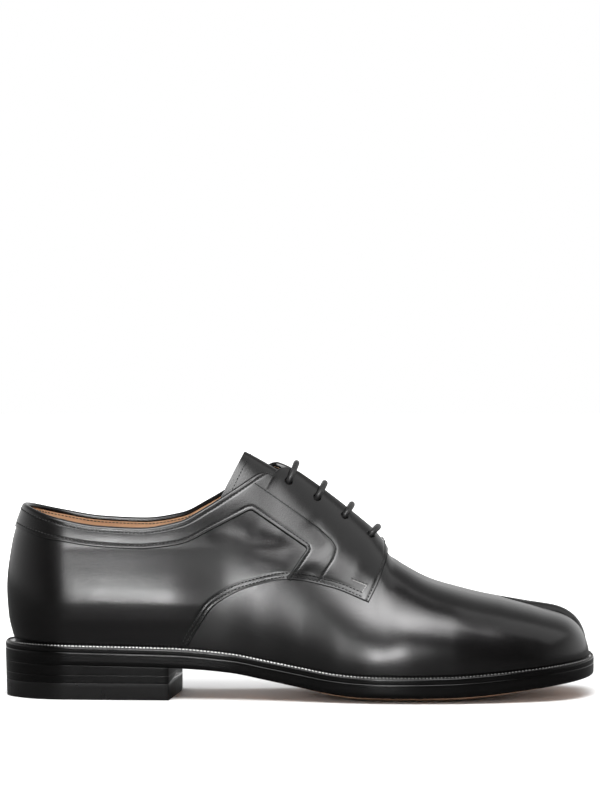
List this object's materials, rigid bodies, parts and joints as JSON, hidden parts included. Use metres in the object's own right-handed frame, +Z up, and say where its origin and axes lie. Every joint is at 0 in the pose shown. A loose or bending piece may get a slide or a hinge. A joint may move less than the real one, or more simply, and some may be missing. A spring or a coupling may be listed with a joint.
{
  "type": "split toe lace-up shoe",
  "caption": "Black leather derby shoe for the right foot with a toe split in two, open lacing over a tongue, a welted leather sole and a low stacked heel.",
  "frame": {"origin": "on the floor, under the middle of the shoe's bounding box", "axes": "+X towards the toe, +Y towards the inner (medial) side, -Y towards the outer (lateral) side, +Z up"},
  "size_m": [0.3, 0.1054, 0.1231],
  "materials": {
    "upper_leather": "polished black calf leather with a fine grain",
    "sole_leather": "natural tan sole leather, its edge inked black",
    "edge_leather": "black inked and waxed leather edge",
    "insole_leather": "smooth tan leather",
    "heel_rubber": "matt black rubber",
    "lace_cord": "round waxed black cord"
  },
  "bodies": {
    "root": {"upper": "upper_leather", "tongue": "upper_leather", "quarter_lateral": "upper_leather", "quarter_medial": "upper_leather", "collar_lateral": "upper_leather", "collar_medial": "upper_leather", "outsole": "sole_leather", "welt": "edge_leather", "heel_lift_upper": "edge_leather", "heel_lift_lower": "edge_leather", "insole": "insole_leather", "heel_top_piece": "heel_rubber", "lace_bar_1": "lace_cord", "lace_bar_2": "lace_cord", "lace_bar_3": "lace_cord", "lace_bar_4": "lace_cord"}
  },
  "joints": []
}
